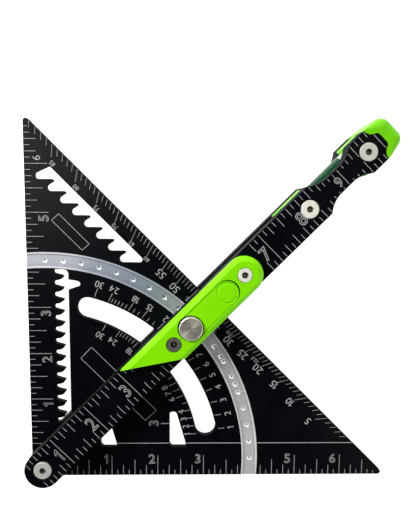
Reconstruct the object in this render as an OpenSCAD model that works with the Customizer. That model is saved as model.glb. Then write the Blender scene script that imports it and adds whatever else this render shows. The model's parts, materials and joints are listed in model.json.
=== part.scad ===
// Folding rafter square: a triangular plate with scribing slots, and a two-blade arm that
// pivots at the square corner, locks on a detent band and carries a level at its far end.
// The origin is on the pivot axis, in the plane of the arm's back face. +X runs along one
// edge of the plate, +Y along the other, and +Z points out of the lock's knob.

/* [Plate] */
// Distance of the long slanted edge from the plate's corner, measured along either leg
leg_len = 196.25; // [180:0.25:220]
// Thickness of the plate
plate_t = 3.175; // [3:0.025:4]
// Radius at the two sharp tips
tip_r = 1.5; // [0.5:0.1:2]
// Pitch of the scribing notches
notch_pitch = 6.35; // [6:0.05:6.5]

/* [Detent band] */
// Radius of the ring of dimples about the pivot
detent_r = 110.7; // [109:0.1:112]
// Width of the bare metal band
band_w = 8.5; // [8:0.1:9]
// Thickness of the band
band_t = 1.2; // [1:0.1:1.6]
// Width across a dimple
dimple_d = 3; // [2:0.1:3.4]

/* [Arm] */
// Width of both blades
blade_w = 19.05; // [18:0.05:20]
// Thickness of one blade
blade_t = 9.525; // [9:0.025:10]
// Gap between the blades
blade_gap = 9.525; // [9:0.025:10]
// Angle between the arm and the X edge at rest
arm_angle = 45; // [0:5:90]
// Distance from the pivot to the tip of the end cap
arm_len = 255.3; // [254:0.1:258]
// Depth of the waist on each side of the blades
waist_depth = 4.2; // [3:0.1:5]

/* [Lock] */
// Height of the green lock housing above the blade
lock_h = 6; // [5.5:0.1:7]
// Diameter of the steel knob
knob_d = 12.2; // [11:0.1:12.4]
// Width of the release lever
lever_w = 12.2; // [11:0.1:12.4]
// Distance between the knob and the lever's pin
lever_throw = 12.7; // [12:0.1:13]

/* [Fasteners] */
// Diameter of the three large screw heads
head_d = 9.5; // [9:0.1:10]
// Diameter of the pivot barrel
pivot_d = 7; // [6:0.1:8]
// Diameter of the two small screws' threads
lock_thread_d = 4; // [3:0.1:4.5]

/* [Hidden] */

$fn = 64;
eps = 0.01;
run_gap = 0.05;                       // radial clearance of every turning or sliding fit

// Heights of the layers, from the back of the arm to the top of the lock
edge_off = blade_w / 2;               // pivot to either leg of the plate
gap_z = blade_t;
plate_z = gap_z + (blade_gap - plate_t) / 2;
plate_top = plate_z + plate_t;
front_z = gap_z + blade_gap;
front_top = front_z + blade_t;
lock_top = front_top + lock_h;

// Detent band
band_in = detent_r - band_w / 2;
band_out = detent_r + band_w / 2;
rim_w = 0.8;
channel_depth = 0.4;
channel_z = plate_top - channel_depth;
dimple_depth = 0.7;
dimple_step = 5;
roof_pitches = [22.5, 31.6];          // extra detents for common roof pitches

// Arm stations along its length, from the pivot
knob_x = detent_r;
lever_pin_x = knob_x + lever_throw;
thumb_x = knob_x + 25.3;
lock_tip_x = 69;
lock_corner_x = 97.1;
lock_front_screw_x = 98.5;
lock_rear_screw_x = 148.8;
block_start_x = 181.2;
block_end_x = 201;
vial_end_x = 229.8;
end_screw_xs = [195.5, 236.3];
waist_mid_x = 216.7;
shoulder_x = 241.3;
nose_x = 246.2;

// Screws and barrels
head_t = 2.6;
head_gap = 0.25;
pivot_seat_d = 11.2;
end_thread_d = 4;
end_barrel_d = 5.8;
socket_d = 3.4;
socket_depth = 1.5;

// ---------- outline helpers ----------

// Points of an arc about [cx, cy], from angle a0 to a1
function arc(cx, cy, r, a0, a1, steps = 8) =
    [for (i = [0:steps]) let (a = a0 + (a1 - a0) * i / steps) [cx + r * cos(a), cy + r * sin(a)]];

// Angle of the direction from p to q
function heading(p, q) = atan2(q[1] - p[1], q[0] - p[0]);

// One corner q of an outline, between p and n, rounded to radius r
function corner(p, q, n, r, steps = 6) =
    let (a = heading(q, p), b = heading(q, n),
         raw = b - a, turn = raw > 180 ? raw - 360 : raw < -180 ? raw + 360 : raw,
         half = abs(turn) / 2, mid = a + turn / 2, reach = r / sin(half),
         c = [q[0] + reach * cos(mid), q[1] + reach * sin(mid)], sweep = 180 - abs(turn),
         side = turn > 0 ? 1 : -1)
    [for (i = [0:steps])
        let (t = mid + 180 + side * sweep * (0.5 - i / steps)) [c[0] + r * cos(t), c[1] + r * sin(t)]];

// A closed outline with every corner rounded; each entry of pts is [x, y, radius]
function rounded(pts) =
    let (n = len(pts))
    [for (i = [0:n - 1]) each
        (pts[i][2] == 0
            ? [[pts[i][0], pts[i][1]]]
            : corner(pts[(i + n - 1) % n], pts[i], pts[(i + 1) % n], pts[i][2]))];

module bore(d, z0, z1) {
    translate([0, 0, z0]) cylinder(d = d, h = z1 - z0);
}

module at_arm(x = 0) {
    rotate([0, 0, arm_angle]) translate([x, 0, 0]) children();
}

module slab(z0, z1) {
    translate([0, 0, z0]) linear_extrude(z1 - z0) children();
}

// ---------- plate ----------

// The plate's coordinates start at its square corner, which the arm's round end covers
module in_plate() {
    translate([-edge_off, -edge_off, 0]) children();
}

module plate_outline() {
    in_plate() polygon(rounded([[0, 0, tip_r], [leg_len, 0, tip_r], [0, leg_len, tip_r]]));
}

// Straight-edged slot with a row of hooked notches, parallel to the Y leg
leg_slot_right = 21.9;
leg_notch_left = 14;
leg_notch_count = 14;
leg_tooth_reach = 5.1;
leg_slot_first = 18.45 + 2 * notch_pitch;
leg_slot_top = 115.2;
pencil_notch_y = 107.4;
pencil_notch_x = 28.2;

// One notch, from its round left end up the curved flank to the point of the tooth above it
function leg_notch(y) = concat(
    arc(leg_notch_left + 1.15, y + 0.55, 1.2, 250, 125, 5),
    [for (t = [0.27, 0.54, 0.73, 0.86]) [leg_notch_left + t * leg_tooth_reach, y + 2 + 1.9 * pow(t, 4)]],
    arc(leg_notch_left + leg_tooth_reach - 0.5, y + 4.15, 0.5, -60, 80, 4));

module leg_slot() {
    last = leg_slot_first + (leg_notch_count - 1) * notch_pitch;
    end_y = leg_slot_first + 0.1;
    top_r = 0.9;
    shoulder_r = 2.6;
    pencil_r = 1.4;
    in_plate() polygon(concat(
        [[leg_slot_right, end_y + 4.95], [leg_slot_right - 1.4, end_y + 3.35],
         [leg_slot_right - 4.7, end_y + 0.3], [leg_slot_right - 5.6, end_y]],
        [for (k = [0:leg_notch_count - 2], p = leg_notch(leg_slot_first + k * notch_pitch)) p],
        arc(leg_notch_left + 1.1, last + 0.4, 1.1, 250, 180, 4),
        arc(leg_notch_left + top_r, leg_slot_top - top_r, top_r, 180, 90, 4),
        arc(leg_slot_right - shoulder_r, leg_slot_top - shoulder_r, shoulder_r, 90, 0, 6),
        [[leg_slot_right, pencil_notch_y + 2.4], [pencil_notch_x - 2, pencil_notch_y + 1.7]],
        arc(pencil_notch_x - pencil_r, pencil_notch_y, pencil_r, 70, -70, 6),
        [[pencil_notch_x - 3.2, pencil_notch_y - 2.1], [leg_slot_right, pencil_notch_y - 3.1]]));
}

// Saw-toothed slot parallel to the slanted edge
saw_edge_sum = 182.7;                 // x + y along the slot's straight side
saw_notch_count = 8;
saw_first = [7.1, 164.8];             // centre of the first notch's round end
saw_notch_r = 1.9;
saw_step = notch_pitch - 0.08;
saw_top_y = 168.5;
saw_top_r = 1.1;
saw_foot_r = 1.6;

// One notch, from the flank of the tooth above it round to the point of the next tooth
function saw_notch(x, y) = concat(
    arc(x, y, saw_notch_r, 130, 270, 6),
    arc(x + 7.05, y - saw_notch_r - 0.75, 0.75, 90, -55, 6));

module saw_slot() {
    last = saw_notch_count - 1;
    end = [saw_first[0] + last * saw_step, saw_first[1] - last * saw_step];
    floor_y = end[1] - saw_notch_r;
    in_plate() polygon(concat(
        [[saw_edge_sum - saw_top_y, saw_top_y]],
        arc(saw_edge_sum - saw_top_y - 1.3, saw_top_y - 0.1, saw_top_r, 80, 118, 3),
        [for (k = [0:last - 1], p = saw_notch(saw_first[0] + k * saw_step, saw_first[1] - k * saw_step)) p],
        arc(end[0], end[1], saw_notch_r, 130, 270, 6),
        arc(saw_edge_sum - floor_y - 3.9, floor_y + saw_foot_r, saw_foot_r, 270, 405, 8)));
}

// Curved slot about the pivot, with round ends
arc_slot_r = 88;
arc_slot_w = 11.2;
arc_slot_from = 12.5;
arc_slot_to = 75.3;
arc_slot_steps = 40;

// Half circle at one end of the slot, without its first and last points
function slot_end(a, start) =
    arc(arc_slot_r * cos(a), arc_slot_r * sin(a), arc_slot_w / 2, a + start + 12, a + start + 168, 13);

module arc_slot() {
    polygon(concat(
        arc(0, 0, arc_slot_r + arc_slot_w / 2, arc_slot_from, arc_slot_to, arc_slot_steps),
        slot_end(arc_slot_to, 0),
        arc(0, 0, arc_slot_r - arc_slot_w / 2, arc_slot_to, arc_slot_from, arc_slot_steps),
        slot_end(arc_slot_from, 180)));
}

// Two slant-sided windows, a whole number of notch pitches apart
window_xs = [37.7, 75.8];
window_base = 9.5;
window_top = 3.7;
window_y = [16.2, 36.4];

module windows() {
    in_plate() for (x = window_xs)
        polygon(rounded([[x, window_y[0], 2.2], [x + window_base, window_y[0], 1],
                         [x + window_top, window_y[1], 1.6], [x, window_y[1], 1.6]]));
}

module square_plate() {
    color([0.03, 0.03, 0.045]) difference() {
        slab(plate_z, plate_top) plate_outline();
        slab(plate_z - 1, plate_top + 1) leg_slot();
        slab(plate_z - 1, plate_top + 1) saw_slot();
        slab(plate_z - 1, plate_top + 1) arc_slot();
        slab(plate_z - 1, plate_top + 1) windows();
        bore(pivot_d + 3, plate_z - 1, plate_top + 1);
        difference() {
            translate([0, 0, plate_top - band_t]) cylinder(r = band_out, h = 5, $fn = 128);
            translate([0, 0, plate_top - band_t - 1]) cylinder(r = band_in, h = 7, $fn = 128);
        }
    }
}

module dimple() {
    translate([detent_r, 0, channel_z - dimple_depth])
        cylinder(d1 = 0.6, d2 = dimple_d, h = dimple_depth + eps, $fn = 32);
}

module detent_band() {
    floor_in = band_in + rim_w;
    floor_out = band_out - rim_w;
    color([0.8, 0.81, 0.83]) difference() {
        intersection() {
            translate([0, 0, plate_top - band_t]) cylinder(r = band_out, h = band_t, $fn = 128);
            slab(plate_z, plate_top + 1) plate_outline();
        }
        translate([0, 0, plate_z]) cylinder(r = band_in, h = 9, $fn = 128);
        difference() {
            translate([0, 0, channel_z]) cylinder(r = floor_out, h = 3, $fn = 128);
            translate([0, 0, plate_z]) cylinder(r = floor_in, h = 9, $fn = 128);
        }
        for (a = concat([for (k = [0:90 / dimple_step]) k * dimple_step], roof_pitches))
            rotate([0, 0, a]) dimple();
    }
}

module pivot_bushing() {
    color([0.72, 0.6, 0.35]) difference() {
        bore(pivot_d + 3, plate_z, plate_top);
        bore(pivot_d + 2 * run_gap, plate_z - 1, plate_top + 1);
    }
}

// ---------- blades ----------

// Waist cut: an arc at each end, tangent to a short straight floor
waist_arc_r = 16;
waist_floor = 7.5;

module waist_2d() {
    y = blade_w / 2 - waist_depth + waist_arc_r;
    for (side = [-1, 1]) {
        for (end = [-1, 1])
            translate([waist_mid_x + end * waist_floor / 2, side * y]) circle(r = waist_arc_r, $fn = 96);
        translate([waist_mid_x - waist_floor / 2, side > 0 ? y - waist_arc_r : -y])
            square([waist_floor, waist_arc_r]);
    }
}

// Nose of a blade: a concave shoulder each side of a flat-topped lobe
nose_scoop_r = 5.5;

function nose_side(side) = [for (p = concat(
        arc(nose_x + 0.6, blade_w / 2, nose_scoop_r, 180, 253, 8),
        arc(nose_x - 2.6, 2.3, 2.6, 50, 0, 6))) [p[0], side * p[1]]];

function reversed(list) = [for (i = [len(list) - 1:-1:0]) list[i]];

module blade_2d() {
    difference() {
        polygon(concat(arc(0, 0, blade_w / 2, 270, 90, 40), nose_side(1), reversed(nose_side(-1))));
        waist_2d();
    }
}

// Plunger well, in the front blade
well_d = 8.3;
stem_d = 5;
well_floor = front_z + 2.5;

module front_blade() {
    color([0.03, 0.03, 0.045]) difference() {
        at_arm() slab(front_z, front_top) blade_2d();
        bore(pivot_d + 2 * run_gap, front_z - 1, front_top - head_t);
        bore(pivot_seat_d, front_top - head_t, front_top + 1);
        for (x = end_screw_xs) at_arm(x) {
            bore(end_barrel_d + 0.1, front_z - 1, front_top - head_t);
            bore(head_d + 2 * head_gap, front_top - head_t, front_top + 1);
        }
        for (x = [lock_front_screw_x, lock_rear_screw_x])
            at_arm(x) bore(lock_thread_d + 0.1, front_top - 7, front_top + 1);
        at_arm(knob_x) {
            bore(stem_d + 2 * run_gap, front_z - 1, front_top + 1);
            bore(well_d, well_floor, front_top + 1);
        }
    }
}

module back_blade() {
    color([0.03, 0.03, 0.045]) difference() {
        at_arm() slab(0, blade_t) blade_2d();
        bore(pivot_d + 2 * run_gap, -1, blade_t + 1);
        bore(head_d + 2 * head_gap, -1, head_t);
        for (x = end_screw_xs) at_arm(x) {
            bore(end_barrel_d + 0.1, -1, blade_t + 1);
            bore(head_d + 2 * head_gap, -1, head_t);
        }
    }
}

// ---------- pivot and end fasteners ----------

module hex_socket(z) {
    translate([0, 0, z - socket_depth]) cylinder(d = socket_d, h = socket_depth + 1, $fn = 6);
}

// Screw head with a small chamfer, its top at z
module screw_head(d, t, z) {
    bevel = 0.35;
    difference() {
        union() {
            bore(d, z - t, z - bevel);
            translate([0, 0, z - bevel]) cylinder(d1 = d, d2 = d - 2 * bevel, h = bevel);
        }
        hex_socket(z);
    }
}

module pivot_screw() {
    color([0.72, 0.7, 0.66]) {
        screw_head(head_d, head_t, front_top);
        bore(5, 8, front_top - head_t);
    }
}

module pivot_barrel_nut() {
    color([0.72, 0.7, 0.66]) difference() {
        union() {
            bore(head_d, 0, head_t - 0.1);
            bore(pivot_d, head_t - 0.1, front_top - head_t - 1);
        }
        bore(5.1, 7, front_top);
    }
}

spacer_d = 18;
washer_t = 0.4;

module ring(d_out, d_in, z0, z1) {
    difference() {
        bore(d_out, z0, z1);
        bore(d_in, z0 - 1, z1 + 1);
    }
}

module pivot_wave_washer() {
    color([0.6, 0.6, 0.6]) ring(spacer_d - 1, pivot_d + 0.6, front_z - washer_t, front_z);
}

module front_pivot_spacer() {
    color([0.1, 0.1, 0.1]) ring(spacer_d, pivot_d + 0.2, plate_top + run_gap, front_z - washer_t);
}

module back_pivot_spacer() {
    color([0.1, 0.1, 0.1]) ring(spacer_d, pivot_d + 0.2, gap_z, plate_z - run_gap);
}

module end_screws() {
    color([0.72, 0.7, 0.66]) for (x = end_screw_xs) at_arm(x) {
        screw_head(head_d, head_t, front_top);
        bore(end_thread_d, 6, front_top - head_t);
    }
}

module end_barrel_nuts() {
    color([0.72, 0.7, 0.66]) for (x = end_screw_xs) at_arm(x) difference() {
        union() {
            bore(head_d, 0, head_t - 0.1);
            bore(end_barrel_d, head_t - 0.1, front_z + 2);
        }
        bore(end_thread_d + 0.1, 5, front_top);
    }
}

// ---------- level ----------

block_w = 18.6;
block_z = [gap_z + 0.03, front_z - 0.03];

// Block between the blades; its open groove takes the plate's tip when the arm is folded flat
module inner_level_block() {
    groove_len = 6.6;
    color([0.52, 0.91, 0]) at_arm() difference() {
        translate([block_start_x, -block_w / 2, block_z[0]])
            cube([block_end_x - block_start_x, block_w, block_z[1] - block_z[0]]);
        translate([block_start_x - 1, -block_w, plate_z - 0.3])
            cube([groove_len + 1, 2 * block_w, plate_t + 0.6]);
        translate([end_screw_xs[0], 0, 0]) bore(end_barrel_d + 0.1, gap_z - 1, front_z + 1);
    }
}

// The cap closes the arm: a slab between the blades that swells to their full thickness
module end_cap() {
    round_r = 5.4;
    skin = 0.2;
    color([0.45, 0.85, 0]) at_arm() {
        difference() {
            hull() {
                translate([shoulder_x - 0.5, -blade_w / 2, skin])
                    cube([1.5, blade_w, front_top - 2 * skin]);
                for (y = [-1, 1], z = [skin + round_r, front_top - skin - round_r])
                    translate([arm_len - round_r, y * (blade_w / 2 - round_r - 0.5), z])
                        sphere(r = round_r, $fn = 32);
            }
            slab(-1, block_z[0]) blade_2d();
            slab(block_z[1], front_top + 1) blade_2d();
            translate([shoulder_x - 1, -blade_w, -1]) cube([1, 2 * blade_w, front_top + 2]);
        }
        difference() {
            translate([vial_end_x + 0.1, -block_w / 2, block_z[0]])
                cube([shoulder_x - vial_end_x - 0.1, block_w, block_z[1] - block_z[0]]);
            translate([end_screw_xs[1], 0, 0]) bore(end_barrel_d + 0.1, gap_z - 1, front_z + 1);
        }
    }
}

vial_w = 15.8;
vial_bore = 7.2;
vial_wall = 2;
vial_mid_z = gap_z + blade_gap / 2;
plug_len = 2;
plug_rim = 3.4;                        // part of the plug outside the vial
vial_open_x = vial_end_x - plug_rim;

module along_arm(x0, x1, d = vial_bore, y = 0) {
    translate([x0, y, vial_mid_z]) rotate([0, 90, 0]) cylinder(d = d, h = x1 - x0);
}

// A bar with round sides that fills the gap between the blades
module round_sided(x0, x1, w) {
    h = block_z[1] - block_z[0];
    translate([x0, -(w - h) / 2, block_z[0]]) cube([x1 - x0, w - h, h]);
    for (side = [-1, 1]) along_arm(x0, x1, h, side * (w - h) / 2);
}

module level_vial() {
    start = block_end_x + 0.1;
    color([0.05, 0.5, 0.2, 0.6]) at_arm() difference() {
        round_sided(start, vial_open_x, vial_w);
        along_arm(start + vial_wall, vial_open_x + 1);
    }
}

module vial_liquid() {
    color([0.1, 0.8, 0.25, 0.7]) at_arm()
        along_arm(block_end_x + 0.1 + vial_wall, vial_open_x - plug_len);
}

module vial_plug() {
    color([0.85, 0.9, 0.85]) at_arm() {
        along_arm(vial_open_x - plug_len, vial_open_x);
        round_sided(vial_open_x, vial_end_x, vial_w - 0.6);
    }
}

// ---------- lock ----------

lock_half = blade_w / 2 - 0.1;
lock_bevel = 2.2;
nose_bevel = 0.7;
knob_z = front_top + 3.05;
knob_top = lock_top + 1.8;
opening_gap = 0.25;
knob_recess_d = knob_d + 1.4;
lock_seat_d = 8.1;
rear_seat_d = 7.9;
lock_seat_z = lock_top - 2.6;
pin_d = 2.4;
pin_len = 15;
pin_z = front_top + 2.85;

// Outline of the lock, pulled in by d along the arm and by nose along the pointed end
module lock_2d(d, nose) {
    rise = 2 * lock_half;
    run = lock_corner_x - lock_tip_x;
    point = atan2(rise, run);
    half = lock_half - d;
    shift = nose / sin(point);
    polygon(concat(
        [[lock_tip_x + shift + d / tan(point), half]],
        [[lock_corner_x + shift - d / tan(point), -half]],
        arc(lock_rear_screw_x, 0, half, -90, 90, 24)));
}

// Straight-sided shape with round ends of diameter d, from x0 to x1
module stadium(d, x0, x1) {
    translate([x0, 0]) circle(d = d);
    translate([x1, 0]) circle(d = d);
    translate([x0, -d / 2]) square([x1 - x0, d]);
}

module lock_housing() {
    color([0.52, 0.91, 0]) at_arm() difference() {
        hull() {
            slab(front_top, lock_top - lock_bevel) lock_2d(0, 0);
            slab(lock_top - 0.01, lock_top) lock_2d(lock_bevel, nose_bevel);
        }
        slab(front_top - 1, lock_top + 1) stadium(lever_w + 2 * opening_gap, knob_x, thumb_x + 0.5);
        translate([knob_x, 0, 0]) bore(knob_recess_d, front_top - 1, lock_top + 1);
        translate([lever_pin_x, pin_len / 2, pin_z]) rotate([90, 0, 0]) cylinder(d = pin_d, h = pin_len);
        translate([lock_front_screw_x, 0, 0]) {
            bore(lock_thread_d + 0.2, front_top - 1, lock_top);
            bore(lock_seat_d, lock_seat_z, lock_top + 1);
        }
        translate([lock_rear_screw_x, 0, 0]) {
            bore(lock_thread_d + 0.2, front_top - 1, lock_top);
            bore(rear_seat_d, lock_seat_z, lock_top + 1);
        }
    }
}

module lock_screw(d, top) {
    screw_head(d, top - lock_seat_z, top);
    bore(lock_thread_d, front_top - 6.5, lock_seat_z);
}

module lock_front_screw() {
    color([0.2, 0.21, 0.22]) at_arm(lock_front_screw_x) lock_screw(lock_seat_d - 0.3, lock_top - 0.5);
}

module lock_rear_screw() {
    color([0.9, 0.9, 0.88]) at_arm(lock_rear_screw_x) lock_screw(rear_seat_d - 0.4, lock_top - 0.2);
}

// Lever heights, from the blade's top face
lever_top = lock_top - 0.1;
lever_thumb_z = front_top + 3.3;
lever_low_z = front_top + 1;
fork_z = knob_z - 0.1;
fork_slot = stem_d + 0.8;
boss_half = 4.2;

module lever_side() {
    tail = thumb_x + lever_w;
    polygon([[knob_x - lever_w, lever_low_z], [lever_pin_x + boss_half, lever_low_z],
             [lever_pin_x + boss_half + 1.4, lever_thumb_z], [tail, lever_thumb_z], [tail, lever_top],
             [knob_x - lever_w, lever_top]]);
}

// Groove round the thumb's place, between an outer and an inner cone
module thumb_ring(r = 5.1, depth = 0.45, slope = 0.9) {
    h = depth + 0.3;
    translate([thumb_x, 0, lever_top - depth]) difference() {
        cylinder(r1 = r + 0.1, r2 = r + 0.1 + slope * h, h = h, $fn = 96);
        translate([0, 0, -eps]) cylinder(r1 = r - 0.1, r2 = r - 0.1 - slope * h, h = h + 2 * eps, $fn = 96);
    }
}

module release_lever() {
    color([0.52, 0.91, 0]) at_arm() difference() {
        intersection() {
            slab(front_top, lock_top + 1) stadium(lever_w, knob_x, thumb_x);
            translate([0, lever_w, 0]) rotate([90, 0, 0]) linear_extrude(2 * lever_w) lever_side();
        }
        // seat of the knob, falling away from its crown towards the fork's tips
        translate([knob_x, 0, 0]) bore(knob_d + 1, fork_z, lock_top + 1);
        translate([knob_x, -lever_w, fork_z]) rotate([0, -10, 0]) mirror([1, 0, 0])
            cube([lever_w, 2 * lever_w, 6]);
        translate([knob_x, 0, 0]) bore(fork_slot, front_top, lock_top + 1);
        translate([knob_x - lever_w, -fork_slot / 2, front_top]) cube([lever_w, fork_slot, lock_h + 1]);
        translate([lever_pin_x, lever_w, pin_z]) rotate([90, 0, 0])
            cylinder(d = pin_d + 2 * run_gap, h = 2 * lever_w);
        thumb_ring();
    }
}

module lever_pin() {
    color([0.7, 0.7, 0.7]) at_arm(lever_pin_x) translate([0, pin_len / 2, pin_z]) rotate([90, 0, 0])
        cylinder(d = pin_d, h = pin_len);
}

// ---------- plunger ----------

tip_z = channel_z + 0.15;
tip_h = 1.3;
neck_d = 4;
clip_z = well_floor + 0.2;
clip_t = 1;
groove_d = 4.3;
bushing_t = 1.6;

module plunger_knob() {
    bevel = 0.5;
    color([0.66, 0.63, 0.58]) at_arm(knob_x) difference() {
        union() {
            bore(knob_d, knob_z, knob_top - bevel);
            translate([0, 0, knob_top - bevel]) cylinder(d1 = knob_d, d2 = knob_d - 2 * bevel, h = bevel);
        }
        bore(neck_d, knob_z - 1, knob_z + 2.6);
    }
}

module plunger_stem() {
    color([0.7, 0.7, 0.7]) at_arm(knob_x) {
        translate([0, 0, tip_z]) cylinder(d1 = 1, d2 = stem_d, h = tip_h);
        bore(stem_d, tip_z + tip_h, clip_z);
        bore(groove_d, clip_z, clip_z + clip_t);
        bore(stem_d, clip_z + clip_t, knob_z);
        bore(neck_d, knob_z, knob_z + 2.5);
    }
}

module plunger_clip() {
    color([0.3, 0.3, 0.3]) at_arm(knob_x) ring(well_d - 0.6, groove_d, clip_z, clip_z + clip_t);
}

module plunger_bushing() {
    color([0.72, 0.6, 0.35]) at_arm(knob_x)
        ring(well_d, stem_d + 2 * run_gap, front_top - bushing_t, front_top);
}

// Coil spring between the clip and the bushing
spring_wire = 0.5;
spring_r = 3.3;
spring_turns = 3.5;
spring_sides = 8;
spring_rings = 70;

function spring_point(i, j) =
    let (a = 360 * spring_turns * i / spring_rings, b = 360 * j / spring_sides,
         r = spring_r + spring_wire / 2 * cos(b))
    [r * cos(a), r * sin(a),
     spring_low + (spring_high - spring_low) * i / spring_rings + spring_wire / 2 * sin(b)];

spring_low = clip_z + clip_t + spring_wire / 2 + 0.02;
spring_high = front_top - bushing_t - spring_wire / 2 - 0.02;

module plunger_spring() {
    n = spring_sides;
    points = [for (i = [0:spring_rings], j = [0:n - 1]) spring_point(i, j)];
    walls = [for (i = [0:spring_rings - 1], j = [0:n - 1]) let (k = (j + 1) % n)
        each [[i * n + j, (i + 1) * n + j, (i + 1) * n + k], [i * n + j, (i + 1) * n + k, i * n + k]]];
    first = [for (j = [0:n - 1]) j];
    last = [for (j = [n - 1:-1:0]) spring_rings * n + j];
    color([0.75, 0.75, 0.75]) at_arm(knob_x) polyhedron(points, concat([first], walls, [last]));
}

square_plate();
detent_band();
pivot_bushing();
front_blade();
back_blade();
pivot_screw();
pivot_barrel_nut();
pivot_wave_washer();
front_pivot_spacer();
back_pivot_spacer();
inner_level_block();
end_cap();
level_vial();
vial_liquid();
vial_plug();
end_screws();
end_barrel_nuts();
lock_housing();
lock_front_screw();
lock_rear_screw();
release_lever();
lever_pin();
plunger_knob();
plunger_stem();
plunger_clip();
plunger_spring();
plunger_bushing();
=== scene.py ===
"""Looks of the folding rafter square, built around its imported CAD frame.

Lengths are in metres in the row frame: the origin is on the pivot axis, +X and +Y run along
the plate's two legs, and +Z points out of the lock's knob.
"""
import json
import math

import bmesh
import bpy
from mathutils import Matrix, Quaternion, Vector


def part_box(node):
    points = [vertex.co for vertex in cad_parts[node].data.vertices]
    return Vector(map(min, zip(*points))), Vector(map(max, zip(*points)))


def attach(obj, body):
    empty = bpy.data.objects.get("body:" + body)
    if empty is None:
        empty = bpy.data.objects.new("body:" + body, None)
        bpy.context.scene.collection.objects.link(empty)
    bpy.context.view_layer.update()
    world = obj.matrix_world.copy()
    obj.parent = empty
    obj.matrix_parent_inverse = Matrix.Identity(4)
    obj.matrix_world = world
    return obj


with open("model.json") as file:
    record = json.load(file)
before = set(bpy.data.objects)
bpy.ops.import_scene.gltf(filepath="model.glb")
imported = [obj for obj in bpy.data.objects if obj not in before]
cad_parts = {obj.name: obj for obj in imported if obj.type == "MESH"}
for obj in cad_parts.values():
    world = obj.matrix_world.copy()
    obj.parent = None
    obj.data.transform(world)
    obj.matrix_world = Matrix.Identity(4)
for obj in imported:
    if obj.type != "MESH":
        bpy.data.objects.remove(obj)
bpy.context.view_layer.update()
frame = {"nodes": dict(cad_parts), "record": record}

MM = 0.001
INCH = 0.0254

# Faces that carry markings
PLATE_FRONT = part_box("square_plate")[1].z
PLATE_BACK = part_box("square_plate")[0].z
BLADE_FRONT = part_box("front_blade")[1].z
BLADE_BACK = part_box("back_blade")[0].z

# Plan of the plate
EDGE = -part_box("square_plate")[0].x   # pivot to either leg
RULER_ZERO = 8.925 * MM               # zero of both rulers, from the pivot
LEG_END = RULER_ZERO + 7 * INCH       # where the slanted edge meets either leg
BAND_IN = 106.45 * MM
BAND_OUT = 114.95 * MM
DETENT_R = (BAND_IN + BAND_OUT) / 2
DETENTS = (*range(0, 91, 5), 22.5, 31.6)      # degrees

# Plan of the arm, along its length from the pivot
ARM_TURN = math.radians(45)
ARM_HALF = 9.525 * MM
LOCK_START = 69 * MM
LOCK_SLANT = 28 * MM                  # length of the lock's slanted end
LOCK_END = 158.4 * MM
KNOB_X = 110.7 * MM
END_SCREWS = (195.5 * MM, 236.3 * MM)
LOCK_SCREWS = (98.5 * MM, 148.8 * MM)
WAIST_X = 216.7 * MM
VIAL_MID_Z = (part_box("vial_liquid")[0].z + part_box("vial_liquid")[1].z) / 2


def polar(angle, distance):
    return Vector((math.cos(angle), math.sin(angle))) * distance


def on_arm(along, across=0.0):
    """Plan position of a point of the arm, from its stations at rest."""
    return polar(ARM_TURN, along) + polar(ARM_TURN + math.pi / 2, across)


# ---------- materials ----------

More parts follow.
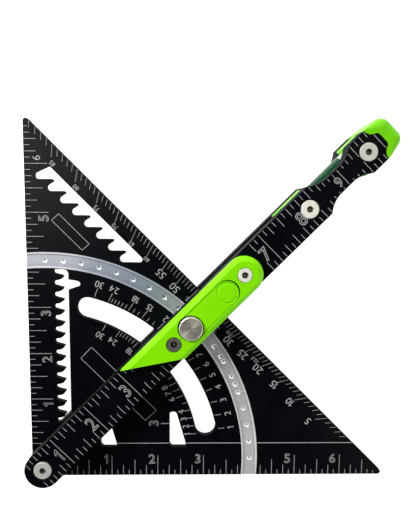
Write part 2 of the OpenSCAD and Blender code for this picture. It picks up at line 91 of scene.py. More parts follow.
class Finish:
    """A procedural material: a principled shader with helpers for grain, tint and brushing."""

    def __init__(self, name, color, metallic=0.0, roughness=0.5, **sockets):
        self.slot = name
        self.material = bpy.data.materials.new(name + "_look")
        self.material.use_nodes = True
        self.nodes = self.material.node_tree.nodes
        self.links = self.material.node_tree.links
        self.shader = self.nodes["Principled BSDF"]
        self.color = (*color, 1.0)
        self.set("Base Color", self.color)
        self.set("Metallic", metallic)
        self.set("Roughness", roughness)
        for socket, value in sockets.items():
            self.set(socket.replace("_", " "), value)
        self.base = None
        self.normal = None

    def set(self, socket, value):
        self.shader.inputs[socket].default_value = value

    def node(self, kind, inputs=(), **settings):
        """A shader node; inputs maps its sockets to values or to the sockets that feed them."""
        made = self.nodes.new(kind)
        for key, value in settings.items():
            setattr(made, key, value)
        for key, value in dict(inputs).items():
            if isinstance(value, bpy.types.NodeSocket):
                self.links.new(value, made.inputs[key])
            else:
                made.inputs[key].default_value = value
        return made

    def place(self, centre=(0, 0, 0)):
        """Position on the piece, counted from centre."""
        here = self.node("ShaderNodeTexCoord").outputs["Object"]
        shifted = self.node("ShaderNodeVectorMath", {0: here, 1: centre}, operation="SUBTRACT")
        return shifted.outputs["Vector"]

    def noise(self, place, scale, detail=3.0):
        inputs = {"Vector": place, "Scale": scale, "Detail": detail}
        return self.node("ShaderNodeTexNoise", inputs).outputs["Fac"]

    def spread(self, value, low, high):
        """Maps noise, which mostly lies between 0.3 and 0.7, to a range."""
        return self.node("ShaderNodeMapRange", {"Value": value, "From Min": 0.3, "From Max": 0.7,
                                                "To Min": low, "To Max": high}).outputs["Result"]

    def tint(self, other, value):
        """Blends the base colour towards another one where value is high."""
        ramp = self.node("ShaderNodeValToRGB", {"Fac": value})
        ramp.color_ramp.elements[0].position = 0.35
        ramp.color_ramp.elements[0].color = self.color
        ramp.color_ramp.elements[1].position = 0.65
        ramp.color_ramp.elements[1].color = (*other, 1.0)
        self.base = ramp.outputs["Color"]
        self.links.new(self.base, self.shader.inputs["Base Color"])
        return self

    def stain(self, value, reach, stops):
        """Multiplies the base colour by bands of colour, which paint light and shade.

        value runs over reach, a pair of its lowest and highest readings, and stops lists each
        band's reading and colour.
        """
        low, high = reach
        along = self.node("ShaderNodeMapRange", {"Value": value, "From Min": low, "From Max": high})
        ramp = self.node("ShaderNodeValToRGB", {"Fac": along.outputs["Result"]})
        elements = ramp.color_ramp.elements
        for i, (reading, color) in enumerate(stops):
            position = (reading - low) / (high - low)
            element = elements[i] if i < len(elements) else elements.new(position)
            element.position = position
            element.color = (*color, 1.0)
        mix = self.node("ShaderNodeMix", {0: 1.0, 6: self.base, 7: ramp.outputs["Color"]},
                        data_type="RGBA", blend_type="MULTIPLY")
        self.base = mix.outputs[2]
        self.links.new(self.base, self.shader.inputs["Base Color"])
        return self

    def flat_place(self, centre):
        """Position on the piece seen along Z, counted from centre."""
        place = self.place((*centre, 0))
        return self.node("ShaderNodeVectorMath", {0: place, 1: (1, 1, 0)},
                         operation="MULTIPLY").outputs["Vector"]

    def radius(self, centre):
        """Distance from an axis along Z."""
        return self.node("ShaderNodeVectorMath", {0: self.flat_place(centre)},
                         operation="LENGTH").outputs["Value"]

    def nearest(self, centres):
        """Distance from the nearest of several axes along Z."""
        here = self.flat_place((0, 0))
        reading = None
        for centre in centres:
            away = self.node("ShaderNodeVectorMath", {0: here, 1: (*centre, 0)},
                             operation="DISTANCE").outputs["Value"]
            reading = away if reading is None else self.node(
                "ShaderNodeMath", {0: reading, 1: away}, operation="MINIMUM").outputs["Value"]
        return reading

    def mottle(self, low, high, scale, walls=None):
        """Uneven roughness, as handling leaves it; walls is the roughness of upright faces."""
        value = self.spread(self.noise(self.place(), scale), low, high)
        if walls is not None:
            facing = self.node("ShaderNodeVectorMath",
                               {0: self.node("ShaderNodeNewGeometry").outputs["Normal"], 1: (0, 0, 1)},
                               operation="DOT_PRODUCT").outputs["Value"]
            flat = self.node("ShaderNodeMath", {0: facing}, operation="ABSOLUTE").outputs["Value"]
            value = self.node("ShaderNodeMapRange", {"Value": flat, "From Min": 0.3, "From Max": 0.9,
                                                     "To Min": walls, "To Max": value}).outputs["Result"]
        self.links.new(value, self.shader.inputs["Roughness"])
        return self

    def bump(self, height, strength, distance):
        """Adds fine relief to the relief that is there."""
        inputs = {"Height": height, "Strength": strength, "Distance": distance}
        if self.normal is not None:
            inputs["Normal"] = self.normal
        self.normal = self.node("ShaderNodeBump", inputs).outputs["Normal"]
        self.links.new(self.normal, self.shader.inputs["Normal"])
        return self

    def grain(self, scale, strength, distance=0.02 * MM):
        return self.bump(self.noise(self.place(), scale), strength, distance)

    def rings(self, centre, pitch, strength, distance=0.02 * MM):
        """Concentric turning marks about an axis along Z through centre, with matching anisotropy."""
        marks = self.node("ShaderNodeTexNoise", {"W": self.radius(centre), "Scale": 1 / pitch,
                                                 "Detail": 2.0}, noise_dimensions="1D")
        around = self.node("ShaderNodeVectorMath", {0: (0, 0, 1), 1: self.flat_place(centre)},
                           operation="CROSS_PRODUCT")
        unit = self.node("ShaderNodeVectorMath", {0: around.outputs["Vector"]}, operation="NORMALIZE")
        self.links.new(unit.outputs["Vector"], self.shader.inputs["Tangent"])
        return self.bump(marks.outputs["Fac"], strength, distance)


SILVER_HEADS = [(0, 0), *[tuple(on_arm(x)) for x in END_SCREWS], tuple(on_arm(LOCK_SCREWS[1]))]
SOCKET_R = 1.5 * MM


def socket_stops(glint, shadow):
    """Painted light on a screw head about its axis: a painted glint, and painted shade in its hexagonal
    socket.
    """
    shaded, plain = (shadow,) * 3, (1, 1, 1)
    return [(0.0, (glint,) * 3), (0.35 * MM, (glint,) * 3), (0.65 * MM, shaded), (SOCKET_R, shaded),
            (SOCKET_R + 0.25 * MM, plain), (5 * MM, plain)]


def band_stops():
    """Colours across the detent band: rims brightened as a painted highlight, a painted shade line inside
    each where it steps down into the channel, a duller channel.
    """
    line, rim, channel = (0.2, 0.21, 0.23), (1, 1, 1), (0.72, 0.735, 0.76)
    steps = ((0, rim), (0.95, rim), (1.15, line), (1.35, channel), (1.65, channel), (1.8, (0.42, 0.44, 0.48)),
             (1.95, channel), (2.5, channel), (2.65, (0.5, 0.52, 0.56)), (2.8, channel),
             (6.9, channel), (7.15, line), (7.4, rim), (8.5, rim))
    return [(BAND_IN + step * MM, color) for step, color in steps]


def dimple_stops():
    """Painted light on a dimple about its axis: painted shade at its bottom, a painted highlight on its cone
    and a thin painted shade line at its edge.
    """
    return [(0, (0.45, 0.42, 0.3)), (0.45 * MM, (0.5, 0.47, 0.36)), (0.75 * MM, (1.5, 1.5, 1.45)),
            (1.4 * MM, (1.4, 1.4, 1.35)), (1.6 * MM, (0.75, 0.75, 0.75)), (1.8 * MM, (1, 1, 1))]


def make_finishes():
    """Every material of the tool, by the name of the record's material slot."""
    black = Finish("black_anodised", (0.001, 0.0013, 0.0026), roughness=0.3, Specular_IOR_Level=0.24)
    black.tint((0.0018, 0.0024, 0.0042), black.noise(black.place(), 60, 4))
    black.mottle(0.26, 0.34, 90, walls=0.85).grain(9000, 0.04)

    mark = Finish("laser_mark", (0.4, 0.41, 0.42), roughness=0.6)
    mark.tint((0.52, 0.53, 0.54), mark.noise(mark.place(), 900, 2)).grain(6000, 0.2)

    aluminium = Finish("bare_aluminium", (0.88, 0.89, 0.9), metallic=0.25, roughness=0.26)
    aluminium.tint((1, 1, 1), aluminium.noise(aluminium.place(), 45, 3))
    # painted highlight on the band's rims and painted shade lines at its channel's edges
    aluminium.stain(aluminium.radius((0, 0)), (BAND_IN, BAND_OUT), band_stops())
    # painted light and shade: pale along the X leg, duller and bluer towards the Y leg, and pale again at its
    # end
    light_slope = aluminium.node("ShaderNodeVectorMath", {0: aluminium.place(), 1: (-1, 1, 0)},
                             operation="DOT_PRODUCT").outputs["Value"]
    aluminium.stain(light_slope, (-0.11, 0.11), [(-0.11, (1.1, 1.09, 1.05)), (-0.02, (1.1, 1.06, 1.05)),
                                             (0.02, (0.68, 0.74, 0.74)), (0.05, (0.52, 0.57, 0.66)),
                                             (0.08, (0.66, 0.69, 0.78)), (0.1, (0.95, 0.95, 1))])
    dimples = [tuple(polar(math.radians(a), DETENT_R)) for a in DETENTS]
    # painted highlight and painted shade in each dimple
    aluminium.stain(aluminium.nearest(dimples), (0, 2 * MM), dimple_stops())
    aluminium.mottle(0.2, 0.32, 160).rings((0, 0), 0.35 * MM, 0.3)

    bronze = Finish("bronze", (0.42, 0.27, 0.1), metallic=1.0, roughness=0.35)
    bronze.tint((0.5, 0.34, 0.14), bronze.noise(bronze.place(), 300)).grain(3000, 0.2)

    plated = Finish("plated_steel", (0.84, 0.82, 0.73), metallic=0.15, roughness=0.34)
    plated.tint((0.94, 0.92, 0.83), plated.noise(plated.place(), 500)).grain(5000, 0.2)
    # painted glint and painted shade in each silver head's socket
    plated.stain(plated.nearest(SILVER_HEADS), (0, 5 * MM), socket_stops(0.5, 0.09))
    # painted light and shade on the screw heads: the pivot's head is the dullest, and those halfway along the
    # arm are the brightest
    plated.stain(plated.radius((0, 0)), (0, 0.25), [(0.05, (0.7, 0.7, 0.7)), (0.13, (1.15, 1.15, 1.15)),
                                                    (0.2, (1.15, 1.15, 1.1)), (0.23, (0.85, 0.85, 0.82))])

    spring = Finish("spring_steel", (0.42, 0.42, 0.43), metallic=1.0, roughness=0.3)
    spring.tint((0.52, 0.52, 0.52), spring.noise(spring.place(), 700)).grain(4000, 0.2)

    knob = Finish("brushed_knob", (0.58, 0.55, 0.45), metallic=0.75, roughness=0.3, Anisotropic=0.9)
    centre = tuple(on_arm(KNOB_X))
    knob.tint((0.96, 0.92, 0.78), knob.noise(knob.place((*centre, 0)), 260, 4))
    knob.rings(centre, 0.12 * MM, 0.6)

    nylon = Finish("black_nylon", (0.012, 0.012, 0.013), roughness=0.6)
    nylon.tint((0.02, 0.02, 0.021), nylon.noise(nylon.place(), 400)).grain(3000, 0.2)

    moulded = Finish("green_plastic", (0.175, 0.68, 0.0005), roughness=0.42, Specular_IOR_Level=0.25)
    moulded.tint((0.2, 0.74, 0.001), moulded.noise(moulded.place(), 70)).mottle(0.38, 0.48, 200)
    moulded.grain(2600, 0.12)

    lime = Finish("green_metal", (0.25, 0.86, 0.0003), roughness=0.45, Specular_IOR_Level=0.12)
    lime.tint((0.28, 0.92, 0.0006), lime.noise(lime.place(), 55)).mottle(0.42, 0.52, 160)
    lime.grain(5200, 0.14)

    dark = Finish("dark_screw", (0.15, 0.15, 0.135), metallic=0.6, roughness=0.34)
    dark.tint((0.34, 0.34, 0.3), dark.noise(dark.place(), 1400)).grain(4000, 0.35)
    # painted glint and painted shade in the dark screw's socket
    dark.stain(dark.radius(tuple(on_arm(LOCK_SCREWS[0]))), (0, 5 * MM), socket_stops(6.0, 0.12))

    acrylic = Finish("vial_acrylic", (0.0006, 0.075, 0.022), roughness=0.05,
                     Transmission_Weight=0.3, IOR=1.49)
    acrylic.tint((0.001, 0.12, 0.033), acrylic.noise(acrylic.place(), 120)).grain(60, 0.02)

    liquid = Finish("vial_liquid", (0.2, 0.9, 0.2), roughness=0.02, Transmission_Weight=0.9, IOR=1.36)
    liquid.tint((0.25, 0.95, 0.25), liquid.noise(liquid.place(), 90)).grain(400, 0.02)

    bubble = Finish("vial_bubble", (0.85, 1.0, 0.85), roughness=0.02, Transmission_Weight=1.0, IOR=0.75)
    bubble.tint((0.9, 1.0, 0.9), bubble.noise(bubble.place(), 90)).grain(300, 0.02)

    plug = Finish("vial_plug", (0.62, 0.7, 0.62), roughness=0.4, Transmission_Weight=0.15)
    plug.tint((0.72, 0.79, 0.72), plug.noise(plug.place(), 500)).grain(2500, 0.2)
    made = (black, mark, aluminium, bronze, plated, spring, knob, nylon, moulded, lime, dark,
            acrylic, liquid, bubble, plug)
    return {finish.slot: finish.material for finish in made}


FINISHES = make_finishes()


def paint(piece, slot):
    """Gives a piece one material and names the record's slot that it stands for."""
    piece.data.materials.clear()
    piece.data.materials.append(FINISHES[slot])


def smooth_edges(piece, width, angle=32, segments=2):
    """Rounds the sharp edges of a CAD node and shades its curved faces smoothly."""
    weld = piece.modifiers.new("weld", "WELD")
    weld.merge_threshold = 0.001 * MM
    flat = piece.modifiers.new("flat", "DECIMATE")
    flat.decimate_type = "DISSOLVE"
    flat.angle_limit = math.radians(0.2)
    bevel = piece.modifiers.new("bevel", "BEVEL")
    bevel.width = width
    bevel.segments = segments
    bevel.limit_method = "ANGLE"
    bevel.angle_limit = math.radians(angle)
    bevel.use_clamp_overlap = True
    bevel.harden_normals = False
    shade = piece.modifiers.new("shade", "WEIGHTED_NORMAL")
    shade.mode = "FACE_AREA"
    shade.weight = 80


# Width of each CAD node's rounded edges
EDGE_WIDTHS = {
    "square_plate": 0.12 * MM,
    "front_blade": 0.3 * MM,
    "back_blade": 0.3 * MM,
    "pivot_screw": 0.12 * MM,
    "end_screws": 0.12 * MM,
    "lock_front_screw": 0.1 * MM,
    "lock_rear_screw": 0.1 * MM,
    "pivot_barrel_nut": 0.2 * MM,
    "end_barrel_nuts": 0.2 * MM,
    "lock_housing": 0.3 * MM,
    "release_lever": 0.3 * MM,
    "plunger_knob": 0.15 * MM,
    "end_cap": 0.5 * MM,
    "inner_level_block": 0.3 * MM,
    "level_vial": 0.25 * MM,
    "vial_plug": 0.3 * MM,
    "pivot_wave_washer": 0.05 * MM,
    "front_pivot_spacer": 0.2 * MM,
    "back_pivot_spacer": 0.2 * MM,
}


def dress_cad_nodes():
    """Gives every CAD node its slot's material and, where it shows, rounded edges."""
    slots = {part["node"]: part["material_slot"] for part in frame["record"]["subparts"]}
    for name, piece in frame["nodes"].items():
        paint(piece, slots[name])
        if name in EDGE_WIDTHS:
            smooth_edges(piece, EDGE_WIDTHS[name])


# ---------- markings ----------

LINE_W = 0.27 * MM
DEGREE_LINE_W = 0.21 * MM
MARK_RISE = 0.02 * MM                 # a mark's top and bottom, above and below its face
MARK_SINK = 0.01 * MM

# Outline of a numeral one, one unit tall: a stem with a flag
ONE = ((0.26, 0), (0.26, 0.8), (0.06, 0.64), (0.06, 0.78), (0.28, 1), (0.39, 1), (0.39, 0))
POINT_SIZE = 0.14                     # decimal point, beside numerals one unit tall
GLYPH_GAP = 0.13                      # gap between characters one unit tall


def character_mesh(character, hollow):
    """One character as a mesh: solid, or only its outline."""
    if character == "1":
        curve = bpy.data.curves.new("glyph", "CURVE")
        curve.dimensions = "2D"
        spline = curve.splines.new("POLY")
        spline.points.add(len(ONE) - 1)
        for point, (x, y) in zip(spline.points, ONE):
            point.co = (x, y, 0, 1)
        spline.use_cyclic_u = True
    else:
        curve = bpy.data.curves.new("glyph", "FONT")
        curve.body = character
        curve.resolution_u = 4
    if hollow:
        curve.fill_mode = "NONE"
        curve.bevel_depth = 0.02
        curve.bevel_resolution = 0
    else:
        curve.fill_mode = "BOTH"
        curve.extrude = 0.1
    holder = bpy.data.objects.new("glyph", curve)
    bpy.context.scene.collection.objects.link(holder)
    view = bpy.context.evaluated_depsgraph_get()
    mesh = bpy.data.meshes.new_from_object(holder.evaluated_get(view))
    bpy.data.objects.remove(holder)
    bpy.data.curves.remove(curve)
    return mesh


def glyph_mesh(text, hollow):
    """Numerals as a mesh one unit tall and one unit thick, centred on the origin."""
    points, faces, pen = [], [], 0.0
    for character in text:
        mesh = character_mesh(character, hollow)
        low = [min(v.co[i] for v in mesh.vertices) for i in range(3)]
        high = [max(v.co[i] for v in mesh.vertices) for i in range(3)]
        scale = (POINT_SIZE if character == "." else 1) / (high[1] - low[1])
        first = len(points)
        points += [(pen + (v.co.x - low[0]) * scale, (v.co.y - low[1]) * scale - 0.5,
                    (v.co.z - low[2]) / (high[2] - low[2]) - 0.5) for v in mesh.vertices]
        faces += [[first + i for i in face.vertices] for face in mesh.polygons]
        pen += (high[0] - low[0]) * scale + GLYPH_GAP
        bpy.data.meshes.remove(mesh)
    middle = (pen - GLYPH_GAP) / 2
    glyph = bpy.data.meshes.new("glyph")
    glyph.from_pydata([(x - middle, y, z) for x, y, z in points], [], faces)
    return glyph


class Marks:
    """Fine lines and numerals on one flat face, gathered into one mesh.

    side is 1 on a face seen from +Z and -1 on a face seen from -Z, where numerals are turned
    over so that they still read the right way.
    """
    glyphs = {}

    def __init__(self, z, side=1):
        self.bm = bmesh.new()
        self.side = side
        self.low = z - side * MARK_SINK
        self.high = z + side * MARK_RISE

    def line(self, start, end, width=LINE_W):
        """A straight bar between two points."""
        along = (end - start).normalized()
        across = Vector((-along.y, along.x)) * width / 2
        rings = [[self.bm.verts.new((*p, z)) for p in (start - across, end - across, end + across,
                                                       start + across)]
                 for z in (self.low, self.high)]
        for ring in rings:
            self.bm.faces.new(ring)
        for i in range(4):
            j = (i + 1) % 4
            self.bm.faces.new((rings[0][i], rings[0][j], rings[1][j], rings[1][i]))

    def numeral(self, text, centre, height, heading, hollow=False, stretch=1.0):
        """A number about centre that reads towards heading; stretch widens it."""
        key = (text, hollow)
        if key not in self.glyphs:
            self.glyphs[key] = glyph_mesh(*key)
        right = Vector((math.cos(heading), math.sin(heading), 0))
        out = Vector((0, 0, self.side))
        up = out.cross(right)
        thick = MARK_RISE + MARK_SINK
        turn = Matrix((right * height * stretch, up * height, out * thick)).transposed().to_4x4()
        shift = Matrix.Translation((*centre, (self.low + self.high) / 2))
        start = len(self.bm.verts)
        self.bm.from_mesh(self.glyphs[key])
        self.bm.verts.ensure_lookup_table()
        bmesh.ops.transform(self.bm, matrix=shift @ turn, verts=self.bm.verts[start:])

    def finish(self, name, body):
        """Makes the gathered marks one piece that rides on a body."""
        bmesh.ops.remove_doubles(self.bm, verts=self.bm.verts, dist=0.002 * MM)
        bmesh.ops.recalc_face_normals(self.bm, faces=self.bm.faces)
        mesh = bpy.data.meshes.new(name)
        self.bm.to_mesh(mesh)
        self.bm.free()
        piece = bpy.data.objects.new(name, mesh)
        bpy.context.scene.collection.objects.link(piece)
        paint(piece, "laser_mark")
        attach(piece, body)
        return piece


def tick_length(eighths, lengths):
    """Length of a ruler's tick, from the lengths for an inch, a half, a quarter and an eighth."""
    if eighths % 8 == 0:
        return lengths[0]
    if eighths % 4 == 0:
        return lengths[1]
    return lengths[2] if eighths % 2 == 0 else lengths[3]


# Lengths of an inch's, a half's, a quarter's and an eighth's tick, along X and along Y
LEG_TICKS = {"x": (11.2 * MM, 8.6 * MM, 5.4 * MM, 2.7 * MM),
             "y": (12.0 * MM, 9.3 * MM, 6.2 * MM, 3.0 * MM)}
NUMERAL_H = 5.4 * MM
# Ticks of the ruler along Y, by eighth, that stop short of the arm or of the saw-toothed slot
SHORT_TICKS = {0: 6 * MM, 46: 3.6 * MM, 52: 6.3 * MM}
TIP_ROOM = 4.4 * MM                   # end of the longest tick, before the slanted edge
BAND_ROOM = 0.8 * MM                  # gap between a tick and the band
LINE_INSET = 0.2 * MM                 # gap between a tick and the plate's edge
NUMERAL_BACK = 3.2 * MM               # centre of a numeral, before its inch line
NUMERAL_UP = 8.4 * MM                 # centre of a numeral, from the ruler's edge


def leg_ruler(marks, leg):
    """Ruler along one leg, broken where the detent band crosses it."""
    swap = (lambda p: p) if leg == "x" else (lambda p: Vector((p.y, p.x)))
    for k in range(7 * 8 - 1):
        along = RULER_ZERO + k * INCH / 8
        length = min(tick_length(k, LEG_TICKS[leg]), LEG_END - along - TIP_ROOM)
        if leg == "y":
            length = min(length, SHORT_TICKS.get(k, length))
        if BAND_IN - BAND_ROOM < along < BAND_OUT or length < 1 * MM:
            continue
        foot = Vector((along, -EDGE + LINE_INSET))
        marks.line(swap(foot), swap(foot + Vector((0, length))))
    heading = 0 if leg == "x" else math.pi / 2
    up = NUMERAL_UP + (0.9 if leg == "x" else 1.2) * MM
    for inch in (1, 2, 3, 5, 6):
        back = NUMERAL_BACK + (0.8 * MM if leg == "x" and inch > 4 else 0)
        centre = Vector((RULER_ZERO + inch * INCH - back, -EDGE + up))
        height = NUMERAL_H
        squeezed = leg == "y" and inch == 6   # beside the saw-toothed slot, past its line
        if squeezed:
            centre = Vector((RULER_ZERO + inch * INCH + 2.9 * MM, -EDGE + 6.6 * MM))
            height = 4.0 * MM
        turn = heading if marks.side > 0 else heading + math.pi
        marks.numeral(str(inch), swap(centre), height, turn, hollow=not squeezed)


def reading_line(angle, distance):
    """Point on the arm's reading edge when the arm stands at angle."""
    return polar(angle, distance) + polar(angle + math.pi / 2, ARM_HALF)


def slanted_edge(angle):
    """Distance along a reading line to the plate's slanted edge."""
    c, s = math.cos(angle), math.sin(angle)
    reach = LEG_END - EDGE
    return (reach - ARM_HALF * (c - s)) / (c + s)


def degree_label(degree):
    """Inset from the slanted edge, and height, of a label of the degree scale."""
    if degree >= 60:                          # beside the saw-toothed slot
        return (8.9 + 0.1 * max(0, degree - 70)) * MM, 2.3 * MM
    if degree == 45:                          # between the band and the edge
        return 7.9 * MM, 2.6 * MM
    return (8.7 + 0.26 * max(0, 15 - degree)) * MM, 4.0 * MM


def degree_scale(marks):
    """Ticks for every degree along the slanted edge, with labels every five degrees."""
    for degree in range(1, 90):
        angle = math.radians(degree)
        outer = slanted_edge(angle) - 0.4 * MM
        length = (6.7 if degree % 5 == 0 else 3.6) * MM
        marks.line(reading_line(angle, outer), reading_line(angle, outer - length), DEGREE_LINE_W)
    for degree in range(5, 90, 5):
        angle = math.radians(degree)
        inset, height = degree_label(degree)
        centre = reading_line(angle, slanted_edge(angle) - inset) - polar(angle + math.pi / 2, 0.7 * MM)
        slanted_numeral(marks, str(degree), centre, height)
    for label, inset in (("31.6", 5.3 * MM), ("22.5", 5.8 * MM)):
        angle = math.radians(float(label))
        centre = reading_line(angle, slanted_edge(angle) - inset) - polar(angle + math.pi / 2, 0.9 * MM)
        slanted_numeral(marks, label, centre, 1.9 * MM)


def slanted_numeral(marks, text, centre, height):
    """A numeral along the slanted edge, its top towards the pivot."""
    marks.numeral(text, centre, height, math.radians(135) if marks.side > 0 else math.radians(-45))


SLOT_OUTER_EDGE = 93.8 * MM           # radii of the curved slot's edges
SLOT_INNER_EDGE = 81.9 * MM
SHORT_PITCH_TICK = 2.4 * MM


def pitch_scale(marks, run, rises, base, outward, label_at, label_h):
    """Roof pitch ticks beside the curved slot: the arm's angle rises n in run.

    rises maps each labelled tick to its length, and each short one to 0. base is the slot's
    edge, outward the direction that the ticks grow in, and label_at the labels' radius.
    """
    for rise, label in rises.items():
        angle = math.atan(rise / run)
        start = base + outward * 0.3 * MM
        length = outward * (label or SHORT_PITCH_TICK)
        marks.line(reading_line(angle, start), reading_line(angle, start + length))
        if label:
            centre = reading_line(angle, label_at(rise))
            heading = angle + math.pi / 2 if marks.side > 0 else angle - math.pi / 2
            marks.numeral(str(rise), centre, label_h, heading)


def common_rises():
    """Ticks outside the curved slot, for common rafters."""
    rises = {n: 3.5 * MM for n in range(1, 8)}
    rises.update({n: 5.0 * MM for n in (12, 15, 18, 24, 30)})
    rises.update({n: 0 for n in (13, 14, 16, 17, 19, 20, 21, 22, 23)})
    return rises


def hip_rises():
    """Ticks inside the curved slot, for hip rafters."""
    rises = {n: 4.0 * MM for n in (1, 2, 3, 4, 6, 7, 8, 18, 24, 30)}
    rises.update({n: 0 for n in (5, 9, 10, 19, 20, 21, 22, 23)})
    return rises


def chord_line(marks, y, x_from, x_to):
    """A bold line along X."""
    marks.line(Vector((x_from, y)), Vector((x_to, y)), 0.42 * MM)


def zero_line(marks):
    """The reading line at zero degrees, broken by the windows and the band."""
    y = ARM_HALF - 0.6 * MM
    for x_from, x_to in ((37.5 * MM, 65.9 * MM), (75.6 * MM, 106.0 * MM), (114.7 * MM, 168.0 * MM)):
        chord_line(marks, y, x_from, x_to)


# Corners of the two empty frames, in millimetres
ARM_FRAME = ((24.1, 63.3), (18.2, 57.1), (53.0, 22.0), (59.0, 27.8))
SLOT_FRAME = ((8.1, 135.2), (23.75, 119.4), (20.0, 116.0), (4.2, 131.8))


def empty_frame(marks, corners, width):
    """A frame of four lines."""
    places = [Vector(corner) * MM for corner in corners]
    for i in range(4):
        marks.line(places[i], places[(i + 1) % 4], width)


def plate_marks(z, side):
    """Everything that is marked on one face of the plate."""
    marks = Marks(z, side)
    leg_ruler(marks, "x")
    leg_ruler(marks, "y")
    degree_scale(marks)
    zero_line(marks)
    pitch_scale(marks, 12, common_rises(), SLOT_OUTER_EDGE, 1, lambda n: 101.2 * MM, 3.5 * MM)
    pitch_scale(marks, 17, hip_rises(), SLOT_INNER_EDGE, -1,
                lambda n: (76.8 if n < 5 else 74.9) * MM, 3.3 * MM)
    empty_frame(marks, ARM_FRAME, 0.3 * MM)
    empty_frame(marks, SLOT_FRAME, 0.28 * MM)
    # the scribing notches' inch mark
    marks.numeral("3", Vector((57.6, 20.5)) * MM, 5.4 * MM,
                  math.pi / 2 if side > 0 else -math.pi / 2, hollow=True)
    chord_line(marks, 20.2 * MM, 61.5 * MM, 66.0 * MM)
    return marks


ARM_ZERO = -10.23 * MM                # where the arm's ruler starts
ARM_TICKS = (0, 6.0 * MM, 5.0 * MM, 3.0 * MM)
ARM_NUMERAL_H = 7.4 * MM
WAIST_NUMERAL_H = 5.8 * MM
ARM_NUMERAL_BACK = {1: 3.0 * MM, 9: 3.2 * MM}   # centres that are closer to their inch line
PIVOT_SEAT_R = 6.2 * MM               # screw seats, with room for the line's end
END_SEAT_R = 5.5 * MM
WAIST_TICKS = range(68, 76)           # eighths beside the waist, whose ticks end in line
WAIST_TICK_END = 3.2 * MM
FULL_LINES = (76,)                    # half inches that are ruled right across
WAIST_DEPTH = 4.2 * MM
WAIST_R = 16 * MM
WAIST_FLOOR = 3.75 * MM
SHOULDER_X = 241.3 * MM
SCOOP_X = 246.8 * MM
SCOOP_R = 5.5 * MM


def blade_half_width(along):
    """Half the blade's width at a station: round at the pivot, cut in at the waist and nose."""
    if along < 0:
        return math.sqrt(max(ARM_HALF ** 2 - along ** 2, 0))
    if along > SHOULDER_X:
        return ARM_HALF - math.sqrt(SCOOP_R ** 2 - (SCOOP_X - along) ** 2)
    off = max(abs(along - WAIST_X) - WAIST_FLOOR, 0)
    if off < WAIST_R:
        cut = WAIST_DEPTH - (WAIST_R - math.sqrt(WAIST_R ** 2 - off ** 2))
        return ARM_HALF - max(cut, 0)
    return ARM_HALF


def clear_of_seats(along, low, high, seats):
    """Parts of a line across the arm, from low to high, that miss the round screw seats."""
    for centre, radius in seats:
        off = abs(along - centre)
        if off < radius:
            half = math.sqrt(radius ** 2 - off ** 2)
            if low < half and high > -half:
                return [(a, b) for a, b in ((low, min(high, -half)), (max(low, half), high))
                        if b - a > 0.5 * MM]
    return [(low, high)]


def arm_tick_spans(eighths, half):
    """Where the ruler's line at a station runs across the arm, as pairs of its ends."""
    if eighths % 8 == 0 or eighths in FULL_LINES:
        return [(-half, half)]
    if eighths in WAIST_TICKS:
        return [(WAIST_TICK_END, half), (-half, -WAIST_TICK_END - 0.8 * MM)]
    length = tick_length(eighths, ARM_TICKS)
    return [(half - length, half), (-half, length - half)]


def arm_marks(z, side):
    """Ruler of the arm: ticks from both edges and hollow numerals before each inch line."""
    marks = Marks(z, side)
    seats = [(0, PIVOT_SEAT_R), *[(x, END_SEAT_R) for x in END_SCREWS]]
    for k in range(2, 10 * 8 + 1):
        along = ARM_ZERO + k * INCH / 8
        half = blade_half_width(along) - 0.5 * MM
        for low, high in arm_tick_spans(k, half):
            for a, b in clear_of_seats(along, low, high, seats):
                # the lock's slanted end covers the ruler up to a line across the blade
                tip = LOCK_START + (ARM_HALF - (a + b) / 2) / (2 * ARM_HALF) * LOCK_SLANT
                if side > 0 and tip - 1 * MM < along < LOCK_END:
                    continue
                marks.line(on_arm(along, a), on_arm(along, b))
    for inch in (1, 2, 3, 7, 8, 9) if side > 0 else range(1, 10):
        before = ARM_NUMERAL_BACK.get(inch, 3.9 * MM)
        centre = on_arm(ARM_ZERO + inch * INCH - before, -0.3 * MM)
        marks.numeral(str(inch), centre, WAIST_NUMERAL_H if inch == 9 else ARM_NUMERAL_H,
                      ARM_TURN if side > 0 else ARM_TURN + math.pi, hollow=True, stretch=0.92)
    return marks


# ---------- level ----------

VIAL_FROM = 203.1 * MM                # ends of the liquid, along the arm
VIAL_TO = 224.4 * MM
VIAL_R = 3.6 * MM


def spun_piece(name, body, look, profile, height, ring=False, steps=32):
    """A solid spun about a line along the arm; profile is [(along, radius)].

    The line lies at height, and every profile is closed on itself, without end faces; ring is not used.
    """
    bm = bmesh.new()
    rings = []
    for along, radius in profile:
        centre = on_arm(along).to_3d() + Vector((0, 0, height))
        across = polar(ARM_TURN + math.pi / 2, 1).to_3d()
        ring = []
        for i in range(steps):
            a = 2 * math.pi * i / steps
            ring.append(bm.verts.new(centre + across * radius * math.cos(a)
                                     + Vector((0, 0, 1)) * radius * math.sin(a)))
        rings.append(ring)
    for near, far in zip(rings, rings[1:] + rings[:1] if ring else rings[1:]):
        for i in range(steps):
            j = (i + 1) % steps
            bm.faces.new((near[i], near[j], far[j], far[i]))
    if not ring:
        bm.faces.new(rings[0])
        bm.faces.new(rings[-1])
    bmesh.ops.recalc_face_normals(bm, faces=bm.faces)
    for face in bm.faces:
        face.smooth = True
    mesh = bpy.data.meshes.new(name)
    bm.to_mesh(mesh)
    bm.free()
    piece = bpy.data.objects.new(name, mesh)
    bpy.context.scene.collection.objects.link(piece)
    paint(piece, look)
    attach(piece, body)
    return piece


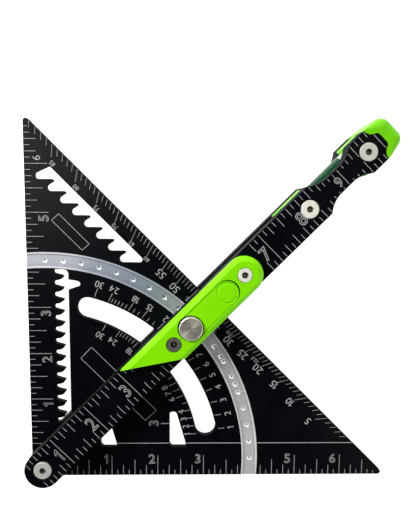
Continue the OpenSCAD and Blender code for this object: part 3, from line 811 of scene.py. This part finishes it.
def add_level_details():
    """The level's air bubble and the two lines that it stands between."""
    middle = (VIAL_FROM + VIAL_TO) / 2
    half, tall = 4.3 * MM, 2.1 * MM
    angles = [math.radians(a) for a in range(172, 0, -8)]
    bubble = [(middle + half * math.cos(a), tall * math.sin(a)) for a in angles]
    spun_piece("vial_bubble", "arm", "vial_bubble", bubble, VIAL_MID_Z + VIAL_R - tall - 0.15 * MM)
    for number, side in enumerate((-1, 1)):
        at = middle + side * 5 * MM
        inside, outside = VIAL_R - 0.25 * MM, VIAL_R - 0.04 * MM
        edge = 0.25 * MM
        spun_piece(f"vial_line_{number}", "arm", "black_nylon",
                   [(at - edge, inside), (at + edge, inside), (at + edge, outside), (at - edge, outside)],
                   VIAL_MID_Z, ring=True)


# ---------- stage ----------

CAMERA_AT = Vector((81.775, 135.775, 271.675)) * MM
CAMERA_TURN = Vector((0.0963, 0.0199, -0.0055))   # rotation vector from the row frame, in radians
LENS = 33.245
SENSOR = 36.0


def add_camera():
    """The main viewpoint, almost square-on above the plate."""
    data = bpy.data.cameras.new("camera")
    data.lens = LENS
    data.sensor_width = SENSOR
    data.clip_start = 0.01
    camera = bpy.data.objects.new("camera", data)
    turn = Quaternion(CAMERA_TURN.normalized(), -CAMERA_TURN.length)
    camera.matrix_world = Matrix.Translation(CAMERA_AT) @ turn.to_matrix().to_4x4()
    bpy.context.scene.collection.objects.link(camera)
    bpy.context.scene.camera = camera


def add_area(name, at, towards, size, power):
    """A round lamp at a place, aimed at another."""
    data = bpy.data.lights.new(name, "AREA")
    data.shape = "DISK"
    data.size = size
    data.energy = power
    light = bpy.data.objects.new(name, data)
    light.location = at
    light.rotation_euler = (Vector(towards) - Vector(at)).to_track_quat("-Z", "Y").to_euler()
    bpy.context.scene.collection.objects.link(light)


def add_world():
    """Studio surround: bright near the horizon and dark overhead, where the flat faces mirror it."""
    world = bpy.data.worlds.new("studio")
    bpy.context.scene.world = world
    world.use_nodes = True
    nodes = world.node_tree.nodes
    links = world.node_tree.links
    place = nodes.new("ShaderNodeTexCoord")
    split = nodes.new("ShaderNodeSeparateXYZ")
    ramp = nodes.new("ShaderNodeValToRGB")
    links.new(place.outputs["Generated"], split.inputs["Vector"])
    links.new(split.outputs["Z"], ramp.inputs["Fac"])
    ramp.color_ramp.elements[0].position = 0.3
    ramp.color_ramp.elements[0].color = (0.6, 0.61, 0.63, 1)
    ramp.color_ramp.elements[1].position = 0.62
    ramp.color_ramp.elements[1].color = (0.012, 0.013, 0.016, 1)
    links.new(ramp.outputs["Color"], nodes["Background"].inputs["Color"])


def add_stage():
    """Camera, lamps, surround and the white floor."""
    middle = (0.08, 0.09, 0.01)
    add_camera()
    add_world()
    add_area("key", (-0.55, 0.62, 0.55), middle, 0.5, 9.0)
    add_area("fill", (0.75, -0.25, 0.5), middle, 0.6, 1.6)
    add_area("sheen", (-0.2, 0.2, 0.62), middle, 0.22, 0.22)
    add_area("streak", (0.45, 0.62, 0.6), middle, 0.2, 1.2)
    bm = bmesh.new()
    bmesh.ops.create_grid(bm, x_segments=1, y_segments=1, size=2.5)
    mesh = bpy.data.meshes.new("floor")
    bm.to_mesh(mesh)
    bm.free()
    floor = bpy.data.objects.new("floor", mesh)
    bpy.context.scene.collection.objects.link(floor)
    pale = Finish("floor", (0.9, 0.9, 0.9), roughness=0.9, Specular_IOR_Level=0.0,
                  Emission_Color=(1, 1, 1, 1), Emission_Strength=1.0)
    pale.tint((0.92, 0.92, 0.92), pale.noise(pale.place(), 3))
    floor.data.materials.append(pale.material)
    bpy.context.scene.view_settings.view_transform = "Standard"


dress_cad_nodes()
plate_marks(PLATE_FRONT, 1).finish("plate_front_marks", "square")
plate_marks(PLATE_BACK, -1).finish("plate_back_marks", "square")
arm_marks(BLADE_FRONT, 1).finish("arm_front_marks", "arm")
arm_marks(BLADE_BACK, -1).finish("arm_back_marks", "arm")
add_level_details()
add_stage()
